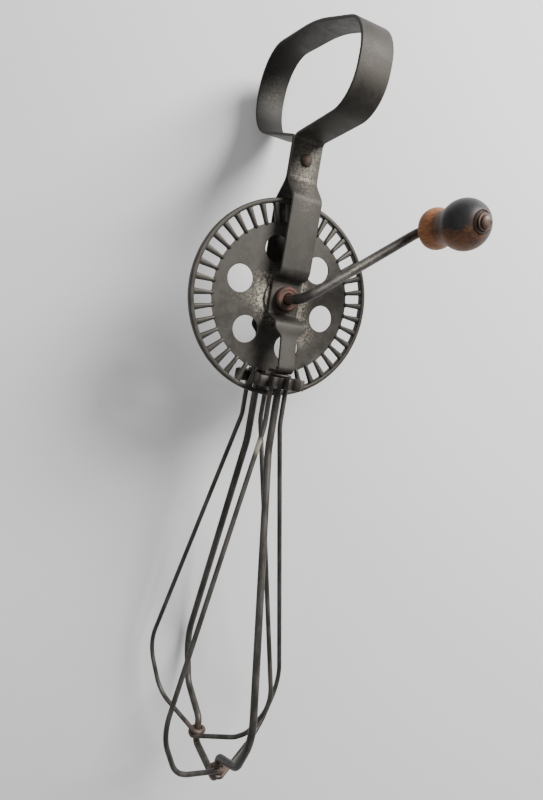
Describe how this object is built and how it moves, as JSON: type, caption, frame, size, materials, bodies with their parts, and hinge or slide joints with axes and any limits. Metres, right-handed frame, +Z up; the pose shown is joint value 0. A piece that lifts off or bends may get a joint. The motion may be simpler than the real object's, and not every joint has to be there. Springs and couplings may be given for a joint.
{
  "type": "rotary egg beater",
  "caption": "Hand-cranked rotary egg beater: bent strap handle, windowed drive wheel, pinions and counter-turning wire dashers on a fixed wire, turned wood knob.",
  "frame": {"origin": "the hanging point, under the inner top of the handle loop on the tool's centre line", "axes": "+Z up along the tool from the dashers to the handle, wheel axis along Y with the crank and knob towards -Y, +X to the right seen from the crank side"},
  "size_m": [0.092, 0.1054, 0.3091],
  "materials": {
    "strap_steel": "tarnished tinned steel, satin",
    "wheel_steel": "tarnished tinned steel, satin",
    "wire_steel": "worn tinned wire with a little rust at the eyes",
    "bright_tin": "brighter tin plate, scuffed",
    "collar_brown": "reddish-brown oxidised steel",
    "knob_wood": "turned hardwood, worn black lacquer over an orange-brown ground"
  },
  "bodies": {
    "frame": {"frame_band": "strap_steel", "shank_rivet": "strap_steel", "frame_wire": "wire_steel", "front_thrust_washer": "bright_tin", "back_thrust_washer": "bright_tin"},
    "drive": {"gear_wheel": "wheel_steel", "hub_sleeve": "collar_brown", "front_hub_washer": "bright_tin", "back_hub_washer": "bright_tin", "rear_washer": "bright_tin", "crank_rod": "wire_steel", "knob_end_washer": "bright_tin"},
    "knob": {"knob": "knob_wood"},
    "front_dasher": {"front_pinion": "wheel_steel", "front_dasher_wire": "wire_steel"},
    "back_dasher": {"back_pinion": "wheel_steel", "back_dasher_wire": "wire_steel"}
  },
  "joints": [
    {"name": "crank_turn", "type": "hinge", "parent": "frame", "child": "drive", "pos_m": [0, 0, -0.1032], "axis": [0, 1, 0], "continuous": true},
    {"name": "knob_spin", "type": "hinge", "parent": "drive", "child": "knob", "pos_m": [0.0437, -0.0435, -0.06819], "axis": [0, 1, 0], "continuous": true},
    {"name": "front_dasher_turn", "type": "hinge", "parent": "frame", "child": "front_dasher", "pos_m": [0, -0.0102, -0.1358], "axis": [0, 0.0154, 0.9999], "continuous": true},
    {"name": "back_dasher_turn", "type": "hinge", "parent": "frame", "child": "back_dasher", "pos_m": [0, 0.0102, -0.1358], "axis": [0, -0.0154, 0.9999], "continuous": true}
  ],
  "couplings": [
    {"joint": "front_dasher_turn", "follows": "crank_turn", "ratio": 4},
    {"joint": "back_dasher_turn", "follows": "crank_turn", "ratio": -4}
  ]
}
